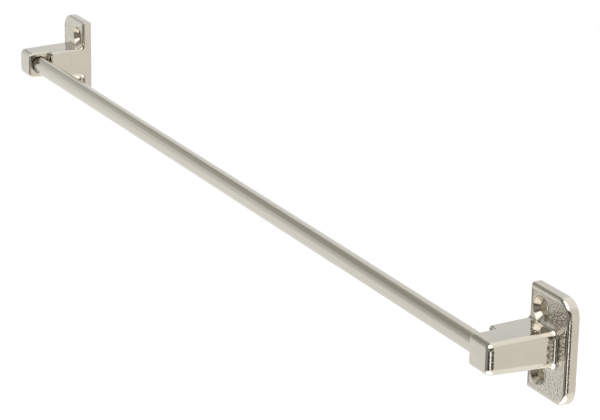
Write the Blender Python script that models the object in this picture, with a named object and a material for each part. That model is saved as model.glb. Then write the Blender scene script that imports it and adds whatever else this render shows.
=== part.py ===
"""Wall rail for ties and belts: two cast brackets and the round bar carried between them.

Metres. X runs along the rail, the wall is the plane y = 0, the rail stands out towards -Y, +Z is up.
The origin is on the wall, midway along the rail and level with the middle of the arms.
"""

import math

import bmesh
import bpy
from mathutils import Matrix

# Whole rail, outer edge of one plate to outer edge of the other
RAIL_LENGTH = 0.460

# Back plate of a bracket
PLATE_WIDTH = 0.0250
PLATE_HEIGHT = 0.040
PLATE_THICKNESS = 0.0045
PLATE_CORNER_RADIUS = 0.0068
PLATE_EDGE_ROUND = 0.0016
PLATE_END_ROUND = 0.0004

# Arm of a bracket
ARM_PROJECTION = 0.0315
ARM_ROOT_WIDTH = 0.0180
ARM_FRONT_WIDTH = 0.0170
ARM_ROOT_HEIGHT = 0.0140
ARM_FRONT_HEIGHT = 0.0122
ARM_TOP_ROUND = 0.0025
ARM_FOOT_ROUND = 0.0032
ARM_FRONT_ROUND = 0.0024
ROOT_FILLET = 0.0015
INNER_EDGE_ROUND = 0.00125
STEP_ROUND = 0.0007
HEAD_EDGE_ROUND = 0.0008

# Head at the front of the arm, where the bar goes in
HEAD_LENGTH = 0.0104
HEAD_SETBACK = 0.0039
POCKET_LEDGE = 0.0002
POCKET_DEPTH = 0.0080
RELIEF_FLARE = 0.0003
RELIEF_FOOT = 0.0018
RELIEF_DEPTH = 0.0012

# Bar and its play in the pockets
BAR_DIAMETER = 0.0080
BAR_CHAMFER = 0.0005
BAR_SIDE_PLAY = 0.0003
BAR_LIFT_PLAY = 0.0005
BAR_END_PLAY = 0.0005

# Screw holes in the plate
HOLE_SPACING = 0.024
HOLE_INSET = 0.0070
HOLE_DIAMETER = 0.0056
COUNTERSINK_DIAMETER = 0.0092
HEAD_CLEARANCE = 0.0040
SPOT_FACE_DIAMETER = 0.0100
SPOT_FACE_DEPTH = 0.0001

# Worked out from the sizes above
INNER_FACE = RAIL_LENGTH / 2 - PLATE_WIDTH
PLATE_FRONT = -PLATE_THICKNESS
ARM_FRONT = -ARM_PROJECTION
STEP_FACE = ARM_FRONT + HEAD_LENGTH
POCKET_REAR = STEP_FACE - POCKET_LEDGE
SEAT_RADIUS = BAR_DIAMETER / 2 + BAR_SIDE_PLAY
RELIEF_TOP = BAR_DIAMETER / 2 + BAR_LIFT_PLAY
BAR_AXIS = POCKET_REAR - SEAT_RADIUS
BAR_LENGTH = 2 * (INNER_FACE + HEAD_SETBACK + POCKET_DEPTH - BAR_END_PLAY)
FRONT_ROUND = min(ARM_FRONT_ROUND, ARM_TOP_ROUND - 0.0001, ARM_FOOT_ROUND - 0.0001)

TINY = 1e-6


def along_arm(y, root_value, front_value):
    """Value at depth y of a size that changes evenly from the plate to the front of the arm."""
    share = (y - PLATE_FRONT) / (ARM_FRONT - PLATE_FRONT)
    return root_value + share * (front_value - root_value)


def near(a, b):
    return abs(a - b) < TINY


def metal(name, colour, roughness):
    material = bpy.data.materials.new(name)
    material.use_nodes = True
    shader = material.node_tree.nodes["Principled BSDF"]
    shader.inputs["Base Color"].default_value = (*colour, 1.0)
    shader.inputs["Metallic"].default_value = 1.0
    shader.inputs["Roughness"].default_value = roughness
    material.diffuse_color = (*colour, 1.0)
    return material


def add_object(name, mesh, material):
    part = bpy.data.objects.new(name, mesh)
    bpy.context.scene.collection.objects.link(part)
    mesh.materials.clear()
    mesh.materials.append(material)
    return part


def shade_smooth(mesh):
    for face in mesh.polygons:
        face.use_smooth = True
    mesh.set_sharp_from_angle(angle=math.radians(30))


def edges_where(shape, test):
    return [edge for edge in shape.edges if test(edge.verts[0].co, edge.verts[1].co)]


def round_edges(shape, edges, radius, segments):
    bmesh.ops.bevel(
        shape,
        geom=edges,
        offset=radius,
        offset_type="OFFSET",
        segments=segments,
        profile=0.5,
        affect="EDGES",
        clamp_overlap=False,
    )


def sharp_casting():
    """Plate and arm with square edges. Here x counts outwards from the bracket's inner face."""
    top = PLATE_HEIGHT / 2
    root = ARM_ROOT_HEIGHT / 2
    front = ARM_FRONT_HEIGHT / 2
    step = along_arm(STEP_FACE, root, front)
    shape = bmesh.new()
    corner = {}
    for sign, level in ((1, "t"), (-1, "b")):
        places = {
            "back_in": (0, 0, top),
            "back_out": (PLATE_WIDTH, 0, top),
            "plate_in": (0, PLATE_FRONT, top),
            "plate_out": (PLATE_WIDTH, PLATE_FRONT, top),
            "root_in": (0, PLATE_FRONT, root),
            "root_out": (ARM_ROOT_WIDTH, PLATE_FRONT, root),
            "step_in": (0, STEP_FACE, step),
            "step_foot": (HEAD_SETBACK, STEP_FACE, step),
            "front_in": (HEAD_SETBACK, ARM_FRONT, front),
            "front_out": (ARM_FRONT_WIDTH, ARM_FRONT, front),
        }
        for name, (x, y, z) in places.items():
            corner[name, level] = shape.verts.new((x, y, sign * z))
    for level in "tb":
        arm_side = ("root_in", "root_out", "front_out", "front_in", "step_foot", "step_in")
        shape.faces.new([corner[name, level] for name in arm_side])
        plate_side = ("back_in", "back_out", "plate_out", "plate_in")
        shape.faces.new([corner[name, level] for name in plate_side])
    walls = (
        ("back_in", "back_out"),
        ("back_out", "plate_out"),
        ("root_out", "front_out"),
        ("front_out", "front_in"),
        ("front_in", "step_foot"),
        ("step_foot", "step_in"),
    )
    for first, second in walls:
        shape.faces.new(
            [corner[first, "t"], corner[second, "t"], corner[second, "b"], corner[first, "b"]]
        )
    face_loop = ("plate_in", "plate_out")
    arm_loop = ("root_out", "root_in")
    shape.faces.new(
        [corner[name, "t"] for name in face_loop]
        + [corner[name, "b"] for name in reversed(face_loop)]
        + [corner[name, "b"] for name in reversed(arm_loop)]
        + [corner[name, "t"] for name in arm_loop]
    )
    inner_loop = ("back_in", "plate_in", "root_in", "step_in")
    shape.faces.new(
        [corner[name, "t"] for name in inner_loop]
        + [corner[name, "b"] for name in reversed(inner_loop)]
    )
    bmesh.ops.recalc_face_normals(shape, faces=shape.faces)
    return shape


def is_plate_corner(a, b):
    return near(a.x, PLATE_WIDTH) and near(b.x, PLATE_WIDTH) and near(a.z, b.z) and not near(a.y, b.y)


def is_arm_long_edge(a, b):
    return near(min(a.y, b.y), ARM_FRONT) and near(max(a.y, b.y), PLATE_FRONT)


def is_arm_top_edge(a, b):
    return is_arm_long_edge(a, b) and min(a.z, b.z) > 0


def is_arm_foot_edge(a, b):
    return is_arm_long_edge(a, b) and max(a.z, b.z) < 0


def is_root_edge(a, b):
    if not (near(a.y, PLATE_FRONT) and near(b.y, PLATE_FRONT)):
        return False
    if near(a.x, 0) and near(b.x, 0):
        return False
    inside = ARM_ROOT_HEIGHT / 2 + TINY
    return abs(a.z) < inside and abs(b.z) < inside and max(a.x, b.x) < ARM_ROOT_WIDTH + TINY


def outer_round(edge):
    """Radius for an outside edge of the casting, or 0 where the edge stays as it is."""
    a, b = (vertex.co for vertex in edge.verts)
    on_wall = near(a.y, 0) and near(b.y, 0)
    if on_wall or edge.calc_face_angle_signed(0.0) < math.radians(60):
        return 0.0
    if near(a.x, b.x) and near(a.x, HEAD_SETBACK) and near(a.y, ARM_FRONT) and near(b.y, ARM_FRONT):
        return HEAD_EDGE_ROUND
    if near(a.x, b.x) and near(a.x, 0) and near(a.z, b.z) and near(abs(a.z), PLATE_HEIGHT / 2):
        return PLATE_END_ROUND
    if near(a.x, b.x) and (near(a.x, 0) or near(a.x, HEAD_SETBACK)):
        return STEP_ROUND if near(a.y, STEP_FACE) and near(b.y, STEP_FACE) else INNER_EDGE_ROUND
    if near(a.y, b.y) and near(a.y, STEP_FACE):
        return STEP_ROUND
    if near(a.y, b.y) and near(a.y, ARM_FRONT):
        return FRONT_ROUND
    if near(a.y, b.y) and near(a.y, PLATE_FRONT):
        return PLATE_EDGE_ROUND
    return 0.0


def casting_mesh():
    """One bracket without its pocket and holes, all edges rounded."""
    shape = sharp_casting()
    round_edges(shape, edges_where(shape, is_plate_corner), PLATE_CORNER_RADIUS, 8)
    round_edges(shape, edges_where(shape, is_arm_top_edge), ARM_TOP_ROUND, 6)
    round_edges(shape, edges_where(shape, is_arm_foot_edge), ARM_FOOT_ROUND, 6)
    round_edges(shape, edges_where(shape, is_root_edge), ROOT_FILLET, 6)
    largest = max(FRONT_ROUND, INNER_EDGE_ROUND, PLATE_EDGE_ROUND, STEP_ROUND, HEAD_EDGE_ROUND)
    shape.normal_update()
    weight = shape.edges.layers.float.new("bevel_weight_edge")
    for edge in shape.edges:
        edge[weight] = outer_round(edge) / largest
    mesh = bpy.data.meshes.new("casting")
    shape.to_mesh(mesh)
    shape.free()
    return mesh, largest


def prism(name, outline, start, end):
    """Solid with an outline given as (y, z), from one x to another."""
    shape = bmesh.new()
    rings = [[shape.verts.new((x, y, z)) for y, z in outline] for x in (start, end)]
    for ring in rings:
        shape.faces.new(ring)
    count = len(outline)
    for i in range(count):
        j = (i + 1) % count
        shape.faces.new((rings[0][i], rings[0][j], rings[1][j], rings[1][i]))
    bmesh.ops.recalc_face_normals(shape, faces=shape.faces)
    mesh = bpy.data.meshes.new(name)
    shape.to_mesh(mesh)
    shape.free()
    return mesh


def pocket_cutter():
    """Round blind bore for the end of the bar."""
    steps = 32
    outline = []
    for i in range(steps):
        angle = 2 * math.pi * (i + 0.5) / steps
        outline.append((BAR_AXIS + SEAT_RADIUS * math.cos(angle), SEAT_RADIUS * math.sin(angle)))
    return prism("pocket_cutter", outline, HEAD_SETBACK / 2, HEAD_SETBACK + POCKET_DEPTH)


def relief_cutter():
    """Shallow square relief round the upper half of the bore's mouth."""
    front = BAR_AXIS - SEAT_RADIUS - RELIEF_FLARE
    inside = SEAT_RADIUS * 0.6
    outline = [
        (POCKET_REAR, RELIEF_TOP),
        (front, RELIEF_TOP),
        (front, RELIEF_FOOT),
        (BAR_AXIS - inside, 0.0),
        (BAR_AXIS + inside, 0.0),
        (POCKET_REAR, RELIEF_FOOT),
    ]
    return prism("relief_cutter", outline, HEAD_SETBACK / 2, HEAD_SETBACK + RELIEF_DEPTH)


def hole_cutter(height):
    """Screw hole, countersink and a spot face that frees the screw's head, turned about a line along Y."""
    hole = HOLE_DIAMETER / 2
    sink = COUNTERSINK_DIAMETER / 2
    room = SPOT_FACE_DIAMETER / 2
    seat = PLATE_FRONT + SPOT_FACE_DEPTH
    past = PLATE_THICKNESS
    profile = (
        (0.0, past),
        (hole, past),
        (hole, seat + sink - hole),
        (sink, seat),
        (room, seat),
        (room, PLATE_FRONT - HEAD_CLEARANCE),
        (0.0, PLATE_FRONT - HEAD_CLEARANCE),
    )
    shape = bmesh.new()
    ring = [shape.verts.new((radius, y, 0)) for radius, y in profile]
    outline = [shape.edges.new(pair) for pair in zip(ring, ring[1:])]
    bmesh.ops.spin(
        shape,
        geom=ring + outline,
        cent=(0, 0, 0),
        axis=(0, 1, 0),
        angle=2 * math.pi,
        steps=36,
        use_merge=True,
        use_normal_flip=False,
        use_duplicate=False,
    )
    bmesh.ops.remove_doubles(shape, verts=shape.verts, dist=TINY)
    bmesh.ops.recalc_face_normals(shape, faces=shape.faces)
    shape.transform(Matrix.Translation((HOLE_INSET, 0, height)))
    mesh = bpy.data.meshes.new("hole_cutter")
    shape.to_mesh(mesh)
    shape.free()
    return mesh


def finished_bracket():
    """The bracket's mesh with rounded edges, pocket and screw holes."""
    mesh, largest = casting_mesh()
    work = bpy.data.objects.new("casting", mesh)
    bpy.context.scene.collection.objects.link(work)
    rounding = work.modifiers.new("rounding", "BEVEL")
    rounding.limit_method = "WEIGHT"
    rounding.offset_type = "OFFSET"
    rounding.width = largest
    rounding.segments = 4
    rounding.use_clamp_overlap = False
    cutters = [pocket_cutter(), relief_cutter()]
    cutters += [hole_cutter(HOLE_SPACING / 2), hole_cutter(-HOLE_SPACING / 2)]
    tools = []
    for cutter in cutters:
        tool = bpy.data.objects.new(cutter.name, cutter)
        tool.display_type = "WIRE"
        tool.hide_render = True
        bpy.context.scene.collection.objects.link(tool)
        cut = work.modifiers.new(cutter.name, "BOOLEAN")
        cut.operation = "DIFFERENCE"
        cut.solver = "EXACT"
        cut.object = tool
        tools.append(tool)
    bpy.context.view_layer.update()
    evaluated = work.evaluated_get(bpy.context.evaluated_depsgraph_get())
    result = bpy.data.meshes.new_from_object(evaluated)
    for helper in [work] + tools:
        bpy.data.objects.remove(helper, do_unlink=True)
    return result


def bar_mesh():
    shape = bmesh.new()
    bmesh.ops.create_cone(
        shape,
        cap_ends=True,
        cap_tris=False,
        segments=40,
        radius1=BAR_DIAMETER / 2,
        radius2=BAR_DIAMETER / 2,
        depth=BAR_LENGTH,
    )
    shape.transform(Matrix.Rotation(math.pi / 2, 4, "Y"))
    ends = edges_where(shape, lambda a, b: abs(a.x - b.x) < BAR_LENGTH / 2)
    bmesh.ops.bevel(
        shape,
        geom=ends,
        offset=BAR_CHAMFER,
        offset_type="OFFSET",
        segments=1,
        affect="EDGES",
        clamp_overlap=False,
    )
    mesh = bpy.data.meshes.new("bar")
    shape.to_mesh(mesh)
    shape.free()
    shade_smooth(mesh)
    return mesh


def build():
    for item in list(bpy.data.objects):
        bpy.data.objects.remove(item, do_unlink=True)
    casting = finished_bracket()
    shade_smooth(casting)
    cast_colour = (0.66, 0.63, 0.58)
    right = add_object("right_bracket", casting.copy(), metal("right_nickel", cast_colour, 0.22))
    right.location = (INNER_FACE, 0, 0)
    # The other end takes the mirror image, so that both reliefs are above the bar
    mirrored = casting.copy()
    mirrored.transform(Matrix.Scale(-1, 4, (1, 0, 0)))
    mirrored.flip_normals()
    left = add_object("left_bracket", mirrored, metal("left_nickel", cast_colour, 0.22))
    left.location = (-INNER_FACE, 0, 0)
    bpy.data.meshes.remove(casting)
    bar = add_object("bar", bar_mesh(), metal("bar_nickel", (0.62, 0.60, 0.56), 0.34))
    bar.location = (0, BAR_AXIS, 0)


build()
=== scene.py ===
import math

import bmesh
import bpy
from mathutils import Matrix, Vector, kdtree, noise


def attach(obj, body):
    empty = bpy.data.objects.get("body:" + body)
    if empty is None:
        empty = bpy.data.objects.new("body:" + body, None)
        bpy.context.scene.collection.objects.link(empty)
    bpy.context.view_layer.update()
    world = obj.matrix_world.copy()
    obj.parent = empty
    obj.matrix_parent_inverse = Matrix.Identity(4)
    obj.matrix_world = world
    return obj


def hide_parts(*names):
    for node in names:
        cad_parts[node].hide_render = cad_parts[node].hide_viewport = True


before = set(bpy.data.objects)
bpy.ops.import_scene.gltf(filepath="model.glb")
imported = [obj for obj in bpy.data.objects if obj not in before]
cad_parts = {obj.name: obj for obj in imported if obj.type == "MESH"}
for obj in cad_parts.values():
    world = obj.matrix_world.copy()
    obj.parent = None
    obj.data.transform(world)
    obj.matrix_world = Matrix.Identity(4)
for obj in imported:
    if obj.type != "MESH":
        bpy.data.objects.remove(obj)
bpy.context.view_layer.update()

# ---------------------------------------------------------------- sizes, in metres
# X runs along the rail, the wall is the plane y = 0, the rail stands out towards -Y, +Z is up.
RAIL_LENGTH = 0.460

PLATE_WIDTH = 0.0250
PLATE_HEIGHT = 0.040
PLATE_THICKNESS = 0.0045
PLATE_CORNER_RADIUS = 0.0068
PLATE_EDGE_ROUND = 0.0016
PLATE_END_ROUND = 0.0004
PLATE_BACK_ROUND = 0.0003

ARM_PROJECTION = 0.0315
ARM_ROOT_WIDTH = 0.0180
ARM_FRONT_WIDTH = 0.0170
ARM_ROOT_HEIGHT = 0.0140
ARM_FRONT_HEIGHT = 0.0122
ARM_TOP_ROUND = 0.0025
ARM_FOOT_ROUND = 0.0032
ARM_FRONT_ROUND = 0.0024
ROOT_FILLET = 0.0015
INNER_EDGE_ROUND = 0.00125
STEP_ROUND = 0.0007
HEAD_EDGE_ROUND = 0.0008

HEAD_LENGTH = 0.0104
HEAD_SETBACK = 0.0039
POCKET_LEDGE = 0.0002
POCKET_DEPTH = 0.0080
RELIEF_FLARE = 0.0003
RELIEF_FOOT = 0.0018
RELIEF_DEPTH = 0.0012

BAR_DIAMETER = 0.0080
BAR_CHAMFER = 0.0005
BAR_SIDE_PLAY = 0.0003
BAR_LIFT_PLAY = 0.0005
BAR_END_PLAY = 0.0005

HOLE_SPACING = 0.024
HOLE_INSET = 0.0070
HOLE_DIAMETER = 0.0056
COUNTERSINK_DIAMETER = 0.0092
HEAD_CLEARANCE = 0.0040
SPOT_FACE_DIAMETER = 0.0100
SPOT_FACE_DEPTH = 0.0001

# How finely the rounds are cut, and how many lengths the bar has
CORNER_SEGMENTS = 24
LONG_ROUND_SEGMENTS = 12
FILLET_SEGMENTS = 12
EDGE_SEGMENTS = 8
HOLE_STEPS = 72
SEAT_STEPS = 72
BAR_STEPS = 96
BAR_LENGTHS = 24

# Pebbled face of the plate: the grid it is cut on, one pebble, its depth, and the plain border
PEBBLE_GRID = 0.0002
PEBBLE_SIZE = 0.00062
PEBBLE_DEPTH = 0.0002
PEBBLE_FADE = 0.00045
# Its grain, counted in pebbles: start of the random draws, so that each run gives the same grain, a
# slice of the noise, how the pebbles stray, and their forms
PEBBLE_SEED = 1
PEBBLE_SLICE = 3.7
PEBBLE_STRAY = 0.35
PEBBLE_STRAY_SCALE = 0.6
PEBBLE_GROOVE = 0.55
PEBBLE_DOME = 0.75
PEBBLE_SWELL_SCALE = 0.35
PEBBLE_SWELL_PLACE = Vector((5.1, 1.3, 0.0))
DOME_SHARE = 0.50
GROOVE_SHARE = 0.30
SWELL_SHARE = 0.20

# Lengths this close count as equal, and two rounds that meet differ by at least the margin
TINY = 1e-6
CUT_TOLERANCE = 1e-7
ROUND_MARGIN = 0.0001
# Slack for finding the faces of the holes and of the relief, and how far such a face, or the
# flat of the plate, looks along Y
FACE_SLACK = 0.0001
BORE_FACING = 0.1
CONE_FACING = (0.3, 0.95)
FLAT_FACING = 0.999
# Edges that turn by less than this stay as they are
LEAST_TURN = math.radians(60)
# The relief's lower corners lie inside the bore, at this share of its radius
RELIEF_INSIDE = 0.6

# Worked out from the sizes above
INNER_FACE = RAIL_LENGTH / 2 - PLATE_WIDTH
PLATE_FRONT = -PLATE_THICKNESS
ARM_FRONT = -ARM_PROJECTION
STEP_FACE = ARM_FRONT + HEAD_LENGTH
POCKET_REAR = STEP_FACE - POCKET_LEDGE
SEAT_RADIUS = BAR_DIAMETER / 2 + BAR_SIDE_PLAY
RELIEF_TOP = BAR_DIAMETER / 2 + BAR_LIFT_PLAY
BAR_AXIS = POCKET_REAR - SEAT_RADIUS
BAR_LENGTH = 2 * (INNER_FACE + HEAD_SETBACK + POCKET_DEPTH - BAR_END_PLAY)
FRONT_ROUND = min(ARM_FRONT_ROUND, ARM_TOP_ROUND - ROUND_MARGIN, ARM_FOOT_ROUND - ROUND_MARGIN)

# Order of the materials on a casting; the bore and relief slots hold painted shade
CAST, PEBBLED, BORE_SHADE, RELIEF_SHADE, CONE = range(5)


# ---------------------------------------------------------------- bracket casting
def along_arm(y, root_value, front_value):
    """Value at depth y of a size that changes evenly from the plate to the front of the arm."""
    share = (y - PLATE_FRONT) / (ARM_FRONT - PLATE_FRONT)
    return root_value + share * (front_value - root_value)


def near(a, b):
    return abs(a - b) < TINY


def edges_where(shape, test):
    return [edge for edge in shape.edges if test(edge.verts[0].co, edge.verts[1].co)]


def round_edges(shape, edges, radius, segments):
    bmesh.ops.bevel(
        shape,
        geom=edges,
        offset=radius,
        offset_type="OFFSET",
        segments=segments,
        profile=0.5,
        affect="EDGES",
        clamp_overlap=False,
    )


def sharp_casting():
    """Plate and arm with square edges. Here x counts outwards from the bracket's inner face."""
    top = PLATE_HEIGHT / 2
    root = ARM_ROOT_HEIGHT / 2
    front = ARM_FRONT_HEIGHT / 2
    step = along_arm(STEP_FACE, root, front)
    shape = bmesh.new()
    corner = {}
    for sign, level in ((1, "t"), (-1, "b")):
        places = {
            "back_in": (0, 0, top),
            "back_out": (PLATE_WIDTH, 0, top),
            "plate_in": (0, PLATE_FRONT, top),
            "plate_out": (PLATE_WIDTH, PLATE_FRONT, top),
            "root_in": (0, PLATE_FRONT, root),
            "root_out": (ARM_ROOT_WIDTH, PLATE_FRONT, root),
            "step_in": (0, STEP_FACE, step),
            "step_foot": (HEAD_SETBACK, STEP_FACE, step),
            "front_in": (HEAD_SETBACK, ARM_FRONT, front),
            "front_out": (ARM_FRONT_WIDTH, ARM_FRONT, front),
        }
        for name, (x, y, z) in places.items():
            corner[name, level] = shape.verts.new((x, y, sign * z))
    for level in "tb":
        arm_side = ("root_in", "root_out", "front_out", "front_in", "step_foot", "step_in")
        shape.faces.new([corner[name, level] for name in arm_side])
        plate_side = ("back_in", "back_out", "plate_out", "plate_in")
        shape.faces.new([corner[name, level] for name in plate_side])
    walls = (
        ("back_in", "back_out"),
        ("back_out", "plate_out"),
        ("root_out", "front_out"),
        ("front_out", "front_in"),
        ("front_in", "step_foot"),
        ("step_foot", "step_in"),
    )
    for first, second in walls:
        shape.faces.new(
            [corner[first, "t"], corner[second, "t"], corner[second, "b"], corner[first, "b"]]
        )
    face_loop = ("plate_in", "plate_out")
    arm_loop = ("root_out", "root_in")
    shape.faces.new(
        [corner[name, "t"] for name in face_loop]
        + [corner[name, "b"] for name in reversed(face_loop)]
        + [corner[name, "b"] for name in reversed(arm_loop)]
        + [corner[name, "t"] for name in arm_loop]
    )
    inner_loop = ("back_in", "plate_in", "root_in", "step_in")
    shape.faces.new(
        [corner[name, "t"] for name in inner_loop]
        + [corner[name, "b"] for name in reversed(inner_loop)]
    )
    bmesh.ops.recalc_face_normals(shape, faces=shape.faces)
    return shape


def is_plate_corner(a, b):
    on_outer_side = near(a.x, PLATE_WIDTH) and near(b.x, PLATE_WIDTH)
    return on_outer_side and near(a.z, b.z) and not near(a.y, b.y)


def is_arm_long_edge(a, b):
    return near(min(a.y, b.y), ARM_FRONT) and near(max(a.y, b.y), PLATE_FRONT)


def is_arm_top_edge(a, b):
    return is_arm_long_edge(a, b) and min(a.z, b.z) > 0


def is_arm_foot_edge(a, b):
    return is_arm_long_edge(a, b) and max(a.z, b.z) < 0


def is_root_edge(a, b):
    if not (near(a.y, PLATE_FRONT) and near(b.y, PLATE_FRONT)):
        return False
    if near(a.x, 0) and near(b.x, 0):
        return False
    inside = ARM_ROOT_HEIGHT / 2 + TINY
    return abs(a.z) < inside and abs(b.z) < inside and max(a.x, b.x) < ARM_ROOT_WIDTH + TINY


def outer_round(edge):
    """Radius for an outside edge of the casting, or 0 where the edge stays as it is."""
    a, b = (vertex.co for vertex in edge.verts)
    if edge.calc_face_angle_signed(0.0) < LEAST_TURN:
        return 0.0
    if near(a.y, 0) and near(b.y, 0):
        return PLATE_BACK_ROUND
    same_x = near(a.x, b.x)
    if same_x and near(a.x, HEAD_SETBACK) and near(a.y, ARM_FRONT) and near(b.y, ARM_FRONT):
        return HEAD_EDGE_ROUND
    if same_x and near(a.x, 0) and near(a.z, b.z) and near(abs(a.z), PLATE_HEIGHT / 2):
        return PLATE_END_ROUND
    if same_x and (near(a.x, 0) or near(a.x, HEAD_SETBACK)):
        on_step = near(a.y, STEP_FACE) and near(b.y, STEP_FACE)
        return STEP_ROUND if on_step else INNER_EDGE_ROUND
    if near(a.y, b.y) and near(a.y, STEP_FACE):
        return STEP_ROUND
    if near(a.y, b.y) and near(a.y, ARM_FRONT):
        return FRONT_ROUND
    if near(a.y, b.y) and near(a.y, PLATE_FRONT):
        return PLATE_EDGE_ROUND
    return 0.0


def casting_mesh():
    """Bracket without pocket and holes, larger edges rounded and the rest given weights for it."""
    shape = sharp_casting()
    for test, radius, segments in (
        (is_plate_corner, PLATE_CORNER_RADIUS, CORNER_SEGMENTS),
        (is_arm_top_edge, ARM_TOP_ROUND, LONG_ROUND_SEGMENTS),
        (is_arm_foot_edge, ARM_FOOT_ROUND, LONG_ROUND_SEGMENTS),
        (is_root_edge, ROOT_FILLET, FILLET_SEGMENTS),
    ):
        round_edges(shape, edges_where(shape, test), radius, segments)
    largest = max(FRONT_ROUND, INNER_EDGE_ROUND, PLATE_EDGE_ROUND, STEP_ROUND, HEAD_EDGE_ROUND)
    shape.normal_update()
    weight = shape.edges.layers.float.new("bevel_weight_edge")
    for edge in shape.edges:
        edge[weight] = outer_round(edge) / largest
    mesh = bpy.data.meshes.new("casting")
    shape.to_mesh(mesh)
    shape.free()
    return mesh, largest


def prism(name, outline, start, end):
    """Solid with an outline given as (y, z), from one x to another."""
    shape = bmesh.new()
    rings = [[shape.verts.new((x, y, z)) for y, z in outline] for x in (start, end)]
    for ring in rings:
        shape.faces.new(ring)
    count = len(outline)
    for i in range(count):
        j = (i + 1) % count
        shape.faces.new((rings[0][i], rings[0][j], rings[1][j], rings[1][i]))
    bmesh.ops.recalc_face_normals(shape, faces=shape.faces)
    mesh = bpy.data.meshes.new(name)
    shape.to_mesh(mesh)
    shape.free()
    return mesh


def pocket_cutter():
    """Round blind bore for the end of the bar."""
    outline = []
    for i in range(SEAT_STEPS):
        angle = 2 * math.pi * (i + 0.5) / SEAT_STEPS
        outline.append((BAR_AXIS + SEAT_RADIUS * math.cos(angle), SEAT_RADIUS * math.sin(angle)))
    return prism("pocket_cutter", outline, HEAD_SETBACK / 2, HEAD_SETBACK + POCKET_DEPTH)


def relief_cutter():
    """Shallow square relief round the upper half of the bore's mouth."""
    front = BAR_AXIS - SEAT_RADIUS - RELIEF_FLARE
    inside = SEAT_RADIUS * RELIEF_INSIDE
    outline = [
        (POCKET_REAR, RELIEF_TOP),
        (front, RELIEF_TOP),
        (front, RELIEF_FOOT),
        (BAR_AXIS - inside, 0.0),
        (BAR_AXIS + inside, 0.0),
        (POCKET_REAR, RELIEF_FOOT),
    ]
    return prism("relief_cutter", outline, HEAD_SETBACK / 2, HEAD_SETBACK + RELIEF_DEPTH)


def hole_cutter(height):
    """Screw hole, countersink, spot face and room for a screw's head, turned about Y."""
    hole = HOLE_DIAMETER / 2
    sink = COUNTERSINK_DIAMETER / 2
    room = SPOT_FACE_DIAMETER / 2
    seat = PLATE_FRONT + SPOT_FACE_DEPTH
    past = PLATE_THICKNESS
    profile = (
        (0.0, past),
        (hole, past),
        (hole, seat + sink - hole),
        (sink, seat),
        (room, seat),
        (room, PLATE_FRONT - HEAD_CLEARANCE),
        (0.0, PLATE_FRONT - HEAD_CLEARANCE),
    )
    shape = bmesh.new()
    ring = [shape.verts.new((radius, y, 0)) for radius, y in profile]
    outline = [shape.edges.new(pair) for pair in zip(ring, ring[1:])]
    bmesh.ops.spin(
        shape,
        geom=ring + outline,
        cent=(0, 0, 0),
        axis=(0, 1, 0),
        angle=2 * math.pi,
        steps=HOLE_STEPS,
        use_merge=True,
        use_normal_flip=False,
        use_duplicate=False,
    )
    bmesh.ops.remove_doubles(shape, verts=shape.verts, dist=TINY)
    bmesh.ops.recalc_face_normals(shape, faces=shape.faces)
    shape.transform(Matrix.Translation((HOLE_INSET, 0, height)))
    mesh = bpy.data.meshes.new("hole_cutter")
    shape.to_mesh(mesh)
    shape.free()
    return mesh


def finished_bracket():
    """The bracket's mesh with rounded edges, pocket and screw holes."""
    mesh, largest = casting_mesh()
    work = bpy.data.objects.new("casting", mesh)
    bpy.context.scene.collection.objects.link(work)
    rounding = work.modifiers.new("rounding", "BEVEL")
    rounding.limit_method = "WEIGHT"
    rounding.offset_type = "OFFSET"
    rounding.width = largest
    rounding.segments = EDGE_SEGMENTS
    rounding.use_clamp_overlap = False
    cutters = [pocket_cutter(), relief_cutter()]
    cutters += [hole_cutter(HOLE_SPACING / 2), hole_cutter(-HOLE_SPACING / 2)]
    tools = []
    for cutter in cutters:
        tool = bpy.data.objects.new(cutter.name, cutter)
        tool.hide_render = True
        bpy.context.scene.collection.objects.link(tool)
        cut = work.modifiers.new(cutter.name, "BOOLEAN")
        cut.operation = "DIFFERENCE"
        cut.solver = "EXACT"
        cut.object = tool
        tools.append(tool)
    bpy.context.view_layer.update()
    evaluated = work.evaluated_get(bpy.context.evaluated_depsgraph_get())
    result = bpy.data.meshes.new_from_object(evaluated)
    for helper in [work] + tools:
        bpy.data.objects.remove(helper, do_unlink=True)
    result.materials.clear()
    return result


def on_plate_face(face):
    return face.normal.y < -FLAT_FACING and near(face.calc_center_median().y, PLATE_FRONT)


def cut_across(shape, axis, places):
    """Cuts the plate's flat front face by planes across one axis."""
    direction = Vector((1, 0, 0)) if axis == 0 else Vector((0, 0, 1))
    for place in places:
        faces = [face for face in shape.faces if on_plate_face(face)]
        crossed = [
            face
            for face in faces
            if min(v.co[axis] for v in face.verts) < place - TINY
            and max(v.co[axis] for v in face.verts) > place + TINY
        ]
        # dictionaries, unlike sets, keep the same order in each run
        geom = dict.fromkeys(crossed)
        for face in crossed:
            geom.update(dict.fromkeys(face.edges))
            geom.update(dict.fromkeys(face.verts))
        bmesh.ops.bisect_plane(
            shape,
            geom=list(geom),
            dist=CUT_TOLERANCE,
            plane_co=direction * place,
            plane_no=direction,
        )


def spaced(low, high, step):
    """Places about one step apart, half a step in from both ends."""
    count = int((high - low) / step)
    return [low + (i + 0.5) * (high - low) / count for i in range(count)]


def pebble_height(x, z):
    """Depth below the plate's face of a grain of small rounded pebbles, from 0 to 1."""
    place = Vector((x / PEBBLE_SIZE, z / PEBBLE_SIZE, PEBBLE_SLICE))
    stray = noise.noise_vector(place * PEBBLE_STRAY_SCALE) * PEBBLE_STRAY
    distances, _points = noise.voronoi(place + stray)
    groove = 1.0 - min(1.0, (distances[1] - distances[0]) / PEBBLE_GROOVE)
    dome = min(1.0, distances[0] / PEBBLE_DOME) ** 2
    swell = 0.5 + 0.5 * noise.noise(place * PEBBLE_SWELL_SCALE + PEBBLE_SWELL_PLACE)
    return min(1.0, DOME_SHARE * dome + GROOVE_SHARE * groove + SWELL_SHARE * swell)


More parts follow.
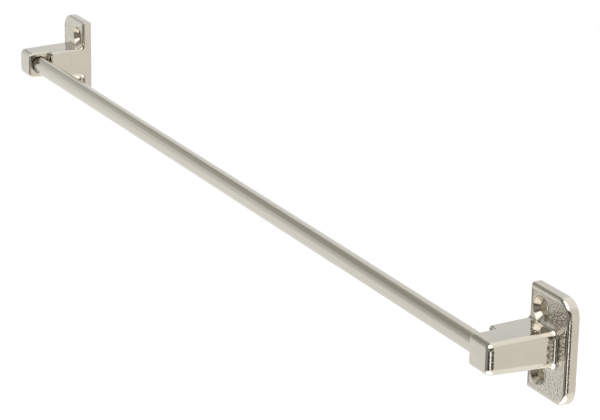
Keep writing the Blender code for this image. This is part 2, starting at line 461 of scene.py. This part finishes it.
def pebble_plate(mesh):
    """Turns the plate's flat front into a fine pebbled surface, pressed in from the flat."""
    noise.seed_set(PEBBLE_SEED)
    shape = bmesh.new()
    shape.from_mesh(mesh)
    shape.normal_update()
    cut_across(shape, 2, spaced(-PLATE_HEIGHT / 2, PLATE_HEIGHT / 2, PEBBLE_GRID))
    cut_across(shape, 0, spaced(0, PLATE_WIDTH, PEBBLE_GRID))
    shape.normal_update()
    faces = [face for face in shape.faces if on_plate_face(face)]
    inside = set(faces)
    touched = dict.fromkeys(vertex for face in faces for vertex in face.verts)
    border = [v for v in touched if any(f not in inside for f in v.link_faces)]
    tree = kdtree.KDTree(len(border))
    for index, vertex in enumerate(border):
        tree.insert(vertex.co, index)
    tree.balance()
    for vertex in touched:
        _place, _index, away = tree.find(vertex.co)
        share = min(1.0, away / PEBBLE_FADE)
        share = share * share * (3 - 2 * share)
        vertex.co.y += PEBBLE_DEPTH * share * pebble_height(vertex.co.x, vertex.co.z)
    for face in faces:
        face.material_index = PEBBLED
    shape.to_mesh(mesh)
    shape.free()


def mark_bores(mesh):
    """Gives the screw holes and the relief at the bar's pocket their own materials; the dark brown
    in the bores and the relief is painted shade.
    """
    slack = FACE_SLACK
    for face in mesh.polygons:
        x, y, z = face.center
        facing = abs(face.normal.y)
        away = math.hypot(x - HOLE_INSET, abs(z) - HOLE_SPACING / 2)
        # faces in the screw bores take the dark brown painted shade
        if away < HOLE_DIAMETER / 2 + slack and facing < BORE_FACING:
            face.material_index = BORE_SHADE
        elif away < COUNTERSINK_DIAMETER / 2 and CONE_FACING[0] < facing < CONE_FACING[1]:
            face.material_index = CONE
        deep = HEAD_SETBACK + slack / 2 < x < HEAD_SETBACK + RELIEF_DEPTH + slack
        across = abs(y - BAR_AXIS) < SEAT_RADIUS + RELIEF_FLARE + slack
        outside = math.hypot(y - BAR_AXIS, z) > SEAT_RADIUS + slack / 2
        # faces of the relief round the bar's pocket take brown painted shade
        if deep and across and outside and abs(z) < RELIEF_TOP + slack:
            face.material_index = RELIEF_SHADE


def add_piece(name, mesh, materials):
    piece = bpy.data.objects.new(name, mesh)
    bpy.context.scene.collection.objects.link(piece)
    for material in materials:
        mesh.materials.append(material)
    return piece


# Corners that turn by more than these degrees are shaded sharp
CASTING_SHARP = 35
BAR_SHARP = 30


def even_normals(piece, sharp_degrees):
    """Smooth shading that keeps the flat faces flat and real corners sharp."""
    for face in piece.data.polygons:
        face.use_smooth = True
    piece.data.set_sharp_from_angle(angle=math.radians(sharp_degrees))
    weighting = piece.modifiers.new("even_normals", "WEIGHTED_NORMAL")
    weighting.mode = "FACE_AREA"
    weighting.weight = 100
    weighting.keep_sharp = True


# ---------------------------------------------------------------- bar
def bar_mesh():
    """Round bar with small chamfers, cut into short lengths."""
    half = BAR_LENGTH / 2
    radius = BAR_DIAMETER / 2
    straight = half - BAR_CHAMFER
    stations = [(-half, radius - BAR_CHAMFER), (-straight, radius)]
    for i in range(1, BAR_LENGTHS):
        stations.append((-straight + 2 * straight * i / BAR_LENGTHS, radius))
    stations += [(straight, radius), (half, radius - BAR_CHAMFER)]
    shape = bmesh.new()
    rings = []
    for x, r in stations:
        ring = []
        for i in range(BAR_STEPS):
            angle = 2 * math.pi * i / BAR_STEPS
            ring.append(shape.verts.new((x, r * math.cos(angle), r * math.sin(angle))))
        rings.append(ring)
    for first, second in zip(rings, rings[1:]):
        for i in range(BAR_STEPS):
            j = (i + 1) % BAR_STEPS
            shape.faces.new((first[i], first[j], second[j], second[i]))
    shape.faces.new(rings[0])
    shape.faces.new(rings[-1])
    bmesh.ops.recalc_face_normals(shape, faces=shape.faces)
    mesh = bpy.data.meshes.new("rail_bar")
    shape.to_mesh(mesh)
    shape.free()
    return mesh


# ---------------------------------------------------------------- materials
# Sockets of a mix node that mixes colours
MIX_SHARE, MIX_FIRST, MIX_SECOND, MIX_RESULT = 0, 6, 7, 2
# Part of a noise's values that a change of tone and a change of gloss run over
TONE_RANGE = (0.30, 0.70)
GLOSS_RANGE = (0.25, 0.75)
# Roughest places of the darkened nickel, as a multiple of its smoothest
DARKENED_ROUGHER = 1.4


class Graph:
    """Adds and joins shader nodes in one tree."""

    def __init__(self, tree):
        self.tree = tree

    def add(self, kind, **settings):
        node = self.tree.nodes.new(kind)
        for name, value in settings.items():
            setattr(node, name, value)
        return node

    def join(self, out, into):
        self.tree.links.new(out, into)

    def put(self, socket, value):
        if isinstance(value, bpy.types.NodeSocket):
            self.join(value, socket)
        else:
            socket.default_value = value

    def math(self, operation, a, b):
        node = self.add("ShaderNodeMath", operation=operation)
        self.put(node.inputs[0], a)
        self.put(node.inputs[1], b)
        return node.outputs[0]

    def dot(self, a, b):
        node = self.add("ShaderNodeVectorMath", operation="DOT_PRODUCT")
        self.put(node.inputs[0], a)
        self.put(node.inputs[1], b)
        return node.outputs["Value"]

    def ramp(self, value, low, high, start=0.0, end=1.0):
        """Smooth step from start, where the value is low, to end, where it is high."""
        node = self.add("ShaderNodeMapRange", interpolation_type="SMOOTHSTEP", clamp=True)
        self.put(node.inputs["Value"], value)
        node.inputs["From Min"].default_value = low
        node.inputs["From Max"].default_value = high
        node.inputs["To Min"].default_value = start
        node.inputs["To Max"].default_value = end
        return node.outputs["Result"]

    def mix(self, share, a, b):
        node = self.add("ShaderNodeMix", data_type="RGBA")
        self.put(node.inputs[MIX_SHARE], share)
        self.put(node.inputs[MIX_FIRST], a)
        self.put(node.inputs[MIX_SECOND], b)
        return node.outputs[MIX_RESULT]

    def noise(self, place, scale, detail, roughness):
        node = self.add("ShaderNodeTexNoise")
        self.join(place, node.inputs["Vector"])
        node.inputs["Scale"].default_value = scale
        node.inputs["Detail"].default_value = detail
        node.inputs["Roughness"].default_value = roughness
        return node.outputs["Fac"]

    def stretched(self, place, scale):
        node = self.add("ShaderNodeMapping")
        self.join(place, node.inputs["Vector"])
        node.inputs["Scale"].default_value = scale
        return node.outputs["Vector"]

    def bump(self, height, strength, distance):
        node = self.add("ShaderNodeBump")
        self.join(height, node.inputs["Height"])
        node.inputs["Strength"].default_value = strength
        node.inputs["Distance"].default_value = distance
        return node.outputs["Normal"]


def rgb(r, g, b):
    return (r, g, b, 1.0)


def new_metal(name):
    material = bpy.data.materials.new(name)
    material.use_nodes = True
    graph = Graph(material.node_tree)
    shader = material.node_tree.nodes["Principled BSDF"]
    shader.inputs["Metallic"].default_value = 1.0
    place = graph.add("ShaderNodeTexCoord").outputs["Object"]
    return material, graph, shader, place


def cast_nickel(name, dark, light, cloud_scale, fine_scale, gloss, grain, relief):
    """Bright plating over a die casting, slightly uneven in tone, gloss and level."""
    material, graph, shader, place = new_metal(name)
    cloud = graph.noise(place, scale=cloud_scale, detail=3.0, roughness=0.55)
    tone = graph.mix(graph.ramp(cloud, *TONE_RANGE), rgb(*dark), rgb(*light))
    graph.join(tone, shader.inputs["Base Color"])
    fine = graph.noise(place, scale=fine_scale, detail=4.0, roughness=0.6)
    graph.join(graph.ramp(fine, *GLOSS_RANGE, *gloss), shader.inputs["Roughness"])
    graph.join(graph.bump(graph.noise(place, **grain), **relief), shader.inputs["Normal"])
    return material


def darkened_nickel(name, dark, light, smoothest):
    """Darker, brownish nickel, unevenly rough; in the screw bores and the relief round the mouth of
    the bar's pocket its dark brown is painted shade, in the countersinks it is only a little darker
    than the casting.
    """
    material, graph, shader, place = new_metal(name)
    cloud = graph.noise(place, scale=900.0, detail=3.0, roughness=0.6)
    tone = graph.mix(graph.ramp(cloud, *TONE_RANGE), rgb(*dark), rgb(*light))
    graph.join(tone, shader.inputs["Base Color"])
    uneven = graph.ramp(cloud, *GLOSS_RANGE, smoothest, smoothest * DARKENED_ROUGHER)
    graph.join(uneven, shader.inputs["Roughness"])
    return material


def satin_nickel():
    """Satin plating on drawn bar, with faint lines along its length."""
    material, graph, shader, place = new_metal("satin_nickel")
    drawn = graph.stretched(place, (14.0, 2600.0, 2600.0))
    lines = graph.noise(drawn, scale=1.0, detail=3.0, roughness=0.6)
    wide = graph.stretched(place, (5.0, 420.0, 420.0))
    bands = graph.noise(wide, scale=1.0, detail=2.0, roughness=0.5)
    tone = graph.mix(
        graph.ramp(bands, *TONE_RANGE), rgb(0.690, 0.660, 0.585), rgb(0.720, 0.690, 0.615)
    )
    graph.join(tone, shader.inputs["Base Color"])
    uneven = graph.ramp(lines, *GLOSS_RANGE, start=0.17, end=0.23)
    graph.join(uneven, shader.inputs["Roughness"])
    graph.join(graph.bump(lines, strength=0.12, distance=0.00006), shader.inputs["Normal"])
    return material


# ---------------------------------------------------------------- pieces
cast_material = cast_nickel(
    "bright_nickel",
    dark=(0.655, 0.625, 0.555),
    light=(0.685, 0.655, 0.585),
    cloud_scale=130.0,
    fine_scale=1500.0,
    gloss=(0.06, 0.10),
    grain={"scale": 900.0, "detail": 1.0, "roughness": 0.5},
    relief={"strength": 0.27, "distance": 0.0002},
)
pebble_material = cast_nickel(
    "pebbled_nickel",
    dark=(0.640, 0.605, 0.535),
    light=(0.680, 0.645, 0.575),
    cloud_scale=160.0,
    fine_scale=1800.0,
    gloss=(0.07, 0.11),
    grain={"scale": 2600.0, "detail": 2.0, "roughness": 0.6},
    relief={"strength": 0.25, "distance": 0.00012},
)
cone_material = darkened_nickel(
    "cone_nickel", dark=(0.560, 0.515, 0.440), light=(0.690, 0.650, 0.575), smoothest=0.15
)
# dark brown painted shade inside the screw bores
bore_shade_material = darkened_nickel(
    "bore_painted_shade", dark=(0.190, 0.155, 0.112), light=(0.350, 0.300, 0.232), smoothest=0.22
)
# brown painted shade in the relief round the mouth of the bar's pocket
relief_shade_material = darkened_nickel(
    "relief_painted_shade", dark=(0.330, 0.290, 0.230), light=(0.500, 0.455, 0.380), smoothest=0.28
)
bar_material = satin_nickel()

casting = finished_bracket()
pebble_plate(casting)
mark_bores(casting)
# in the order cast, pebbled, bore, relief and cone; the bore and relief materials are painted shade
cast_materials = [cast_material, pebble_material, bore_shade_material, relief_shade_material, cone_material]

right = add_piece("right_bracket_casting", casting.copy(), cast_materials)
right.location = (INNER_FACE, 0, 0)
mirrored = casting.copy()
mirrored.transform(Matrix.Scale(-1, 4, (1, 0, 0)))
mirrored.flip_normals()
left = add_piece("left_bracket_casting", mirrored, cast_materials)
left.location = (-INNER_FACE, 0, 0)
bpy.data.meshes.remove(casting)

bar = add_piece("rail_bar", bar_mesh(), [bar_material])
bar.location = (0, BAR_AXIS, 0)

for piece, sharp_degrees in ((right, CASTING_SHARP), (left, CASTING_SHARP), (bar, BAR_SHARP)):
    even_normals(piece, sharp_degrees)

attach(right, "brackets")
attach(left, "brackets")
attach(bar, "bar")
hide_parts("right_bracket")
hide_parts("left_bracket")
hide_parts("bar")

# ---------------------------------------------------------------- stage
FLOOR_HEIGHT = -0.30
FLOOR_HALF = (0.62, 0.45)
FLOOR_MATTE = 0.5
FLOOR_GLOW = 0.62

floor_shape = bmesh.new()
bmesh.ops.create_grid(floor_shape, x_segments=2, y_segments=2, size=1.0)
floor_mesh = bpy.data.meshes.new("floor")
floor_shape.to_mesh(floor_mesh)
floor_shape.free()
floor = bpy.data.objects.new("floor", floor_mesh)
bpy.context.scene.collection.objects.link(floor)
floor.location = (0, 0, FLOOR_HEIGHT)
floor.scale = (*FLOOR_HALF, 1.0)

floor_material = bpy.data.materials.new("floor")
floor_material.use_nodes = True
graph = Graph(floor_material.node_tree)
floor_material.node_tree.nodes.clear()
path = graph.add("ShaderNodeLightPath")
matte = graph.add("ShaderNodeBsdfDiffuse")
matte.inputs["Color"].default_value = rgb(FLOOR_MATTE, FLOOR_MATTE, FLOOR_MATTE)
glow = graph.add("ShaderNodeEmission")
glow.inputs["Color"].default_value = rgb(FLOOR_GLOW, FLOOR_GLOW, FLOOR_GLOW)
graph.join(path.outputs["Is Camera Ray"], glow.inputs["Strength"])
both = graph.add("ShaderNodeAddShader")
graph.join(matte.outputs[0], both.inputs[0])
graph.join(glow.outputs[0], both.inputs[1])
# in the metal this floor is clear, and shows the room below it
beyond = graph.add("ShaderNodeBsdfTransparent")
either = graph.add("ShaderNodeMixShader")
graph.join(path.outputs["Is Glossy Ray"], either.inputs[0])
graph.join(both.outputs[0], either.inputs[1])
graph.join(beyond.outputs[0], either.inputs[2])
out = graph.add("ShaderNodeOutputMaterial")
graph.join(either.outputs[0], out.inputs["Surface"])
floor_mesh.materials.append(floor_material)


# ---------------------------------------------------------------- room that the metal mirrors
# A turn is in degrees about the upright, from straight ahead of the rail (-Y) towards +X. A height
# is the z of a direction, from -1 straight down to 1 straight up.
LEFT_WALL_LOW = (0.88, 0.88, 0.87)
LEFT_WALL_HIGH = (0.785, 0.79, 0.785)
LEFT_WALL_RISE = (-0.15, 0.25)
RIGHT_WALL_NEAR = (0.835, 0.80, 0.745)
RIGHT_WALL_FAR = (0.88, 0.84, 0.785)
RIGHT_WALL_SIDE = (0.76, 0.92)
WALLS_MEET = (-0.6, 0.6)
ROOM_FLOOR = (0.86, 0.85, 0.83)
ROOM_FLOOR_START = (-0.42, -0.72)
CEILING = (0.95, 0.93, 0.88)
CEILING_START = (0.42, 0.76)

# Round areas: direction, degrees from it where the area is full and where it ends, light
BACK_PATCHES = (
    # brighter part of the ceiling, then of the floor, both towards the back
    ((-0.15, 0.50, 0.85), 32, 42, (1.07, 1.045, 1.005)),
    ((0.30, 0.42, -0.857), 29, 39, (1.10, 1.07, 1.025)),
)
OPENINGS = (
    # dim, high on the left
    ((-0.686, -0.288, 0.669), 14, 25, (0.345, 0.335, 0.295)),
    ((-0.847, 0.096, 0.523), 1, 12, (0.32, 0.31, 0.275)),
)
SOFT_BOXES = (
    # above in front, then below
    ((0.130, -0.490, 0.862), 29, 33, (1.9, 1.9, 1.88)),
    ((0.100, -0.250, -0.963), 33, 40, (1.8, 1.8, 1.77)),
)

# Upright areas: turns, then heights, where each starts, is full, is full no more and ends, light.
# A later area covers an earlier one.
WALL_AREAS = (
    # dark and brownish, ahead on the left
    ((-70, -42, -25, -5), (-0.08, 0.42, 0.50, 0.72), (0.15, 0.125, 0.085)),
    # dim wall straight ahead, and the dark part low on its right
    ((-50, -36, 40, 44), (-0.68, -0.58, 0.32, 0.44), (0.33, 0.31, 0.28)),
    ((4, 14, 40, 44), (-0.68, -0.58, -0.31, -0.25), (0.07, 0.062, 0.055)),
    # right-hand wall: grey at level, dark above it, and a nearly black line below
    ((54, 60, 94, 104), (-0.34, -0.28, 0.02, 0.12), (0.42, 0.40, 0.36)),
    ((54, 60, 94, 104), (0.02, 0.12, 0.50, 0.60), (0.16, 0.15, 0.13)),
    ((61, 66, 103, 112), (-0.43, -0.39, -0.345, -0.30), (0.04, 0.036, 0.032)),
    # dark upright strip between the two walls, and a dark patch high beside it
    ((38, 44, 60, 66), (-0.30, -0.22, 0.50, 0.60), (0.08, 0.072, 0.064)),
    ((12, 20, 40, 46), (0.16, 0.26, 0.50, 0.60), (0.08, 0.072, 0.064)),
    # lit strip below the dark one
    ((40, 43, 61, 66), (-0.66, -0.54, -0.37, -0.30), (1.4, 1.4, 1.38)),
)


def studio_world():
    """Plain white to the camera, and a pale room with lit and dark areas to the metal."""
    world = bpy.data.worlds.new("studio")
    bpy.context.scene.world = world
    world.use_nodes = True
    world.node_tree.nodes.clear()
    graph = Graph(world.node_tree)
    away = graph.add("ShaderNodeTexCoord").outputs["Generated"]
    split = graph.add("ShaderNodeSeparateXYZ")
    graph.join(away, split.inputs[0])
    x, y, z = split.outputs
    turn = graph.math("ARCTAN2", x, graph.math("MULTIPLY", y, -1.0))
    turn = graph.math("MULTIPLY", turn, 180.0 / math.pi)

    def spot(base, direction, inner, outer, light):
        """Round area with a soft rim."""
        facing = graph.dot(away, tuple(Vector(direction).normalized()))
        share = graph.ramp(facing, math.cos(math.radians(outer)), math.cos(math.radians(inner)))
        return graph.mix(share, base, rgb(*light))

    def span(value, start, full, full_end, end):
        """1 between full and full_end, 0 outside start and end."""
        rise = graph.ramp(value, start, full)
        fall = graph.ramp(value, end, full_end)
        return graph.math("MULTIPLY", rise, fall)

    left_wall = graph.mix(
        graph.ramp(z, *LEFT_WALL_RISE), rgb(*LEFT_WALL_LOW), rgb(*LEFT_WALL_HIGH)
    )
    right_wall = graph.mix(
        graph.ramp(x, *RIGHT_WALL_SIDE), rgb(*RIGHT_WALL_NEAR), rgb(*RIGHT_WALL_FAR)
    )
    colour = graph.mix(graph.ramp(x, *WALLS_MEET), left_wall, right_wall)
    colour = graph.mix(graph.ramp(z, *ROOM_FLOOR_START), colour, rgb(*ROOM_FLOOR))
    colour = graph.mix(graph.ramp(z, *CEILING_START), colour, rgb(*CEILING))
    for area in BACK_PATCHES:
        colour = spot(colour, *area)
    for turns, heights, light in WALL_AREAS:
        share = graph.math("MULTIPLY", span(turn, *turns), span(z, *heights))
        colour = graph.mix(share, colour, rgb(*light))
    for area in OPENINGS + SOFT_BOXES:
        colour = spot(colour, *area)

    studio = graph.add("ShaderNodeBackground")
    graph.join(colour, studio.inputs["Color"])
    white = graph.add("ShaderNodeBackground")
    white.inputs["Color"].default_value = rgb(1, 1, 1)
    path = graph.add("ShaderNodeLightPath")
    either = graph.add("ShaderNodeMixShader")
    graph.join(path.outputs["Is Camera Ray"], either.inputs[0])
    graph.join(studio.outputs[0], either.inputs[1])
    graph.join(white.outputs[0], either.inputs[2])
    out = graph.add("ShaderNodeOutputWorld")
    graph.join(either.outputs[0], out.inputs["Surface"])


studio_world()

# ---------------------------------------------------------------- camera
SENSOR_WIDTH = 36.0
LENS = 144.084
CAMERA_PLACE = Vector((0.87058, -0.44770, 0.30841))
CAMERA_YAW = math.radians(62.206)
CAMERA_PITCH = math.radians(18.329)
CAMERA_ROLL = math.radians(1.085)
NEAREST_SEEN = 0.01
FARTHEST_SEEN = 20.0

camera_data = bpy.data.cameras.new("camera")
camera_data.sensor_fit = "HORIZONTAL"
camera_data.sensor_width = SENSOR_WIDTH
camera_data.lens = LENS
camera_data.clip_start = NEAREST_SEEN
camera_data.clip_end = FARTHEST_SEEN
camera = bpy.data.objects.new("camera", camera_data)
bpy.context.scene.collection.objects.link(camera)
back = Vector((
    math.sin(CAMERA_YAW) * math.cos(CAMERA_PITCH),
    -math.cos(CAMERA_YAW) * math.cos(CAMERA_PITCH),
    math.sin(CAMERA_PITCH),
))
level = Vector((math.cos(CAMERA_YAW), math.sin(CAMERA_YAW), 0.0))
upright = back.cross(level)
across = level * math.cos(CAMERA_ROLL) + upright * math.sin(CAMERA_ROLL)
up = upright * math.cos(CAMERA_ROLL) - level * math.sin(CAMERA_ROLL)
turned = Matrix((across, up, back)).transposed().to_4x4()
camera.matrix_world = Matrix.Translation(CAMERA_PLACE) @ turned
bpy.context.scene.camera = camera

bpy.context.scene.view_settings.view_transform = "Standard"

# ---------------------------------------------------------------- scene brought up to date
bpy.context.view_layer.update()
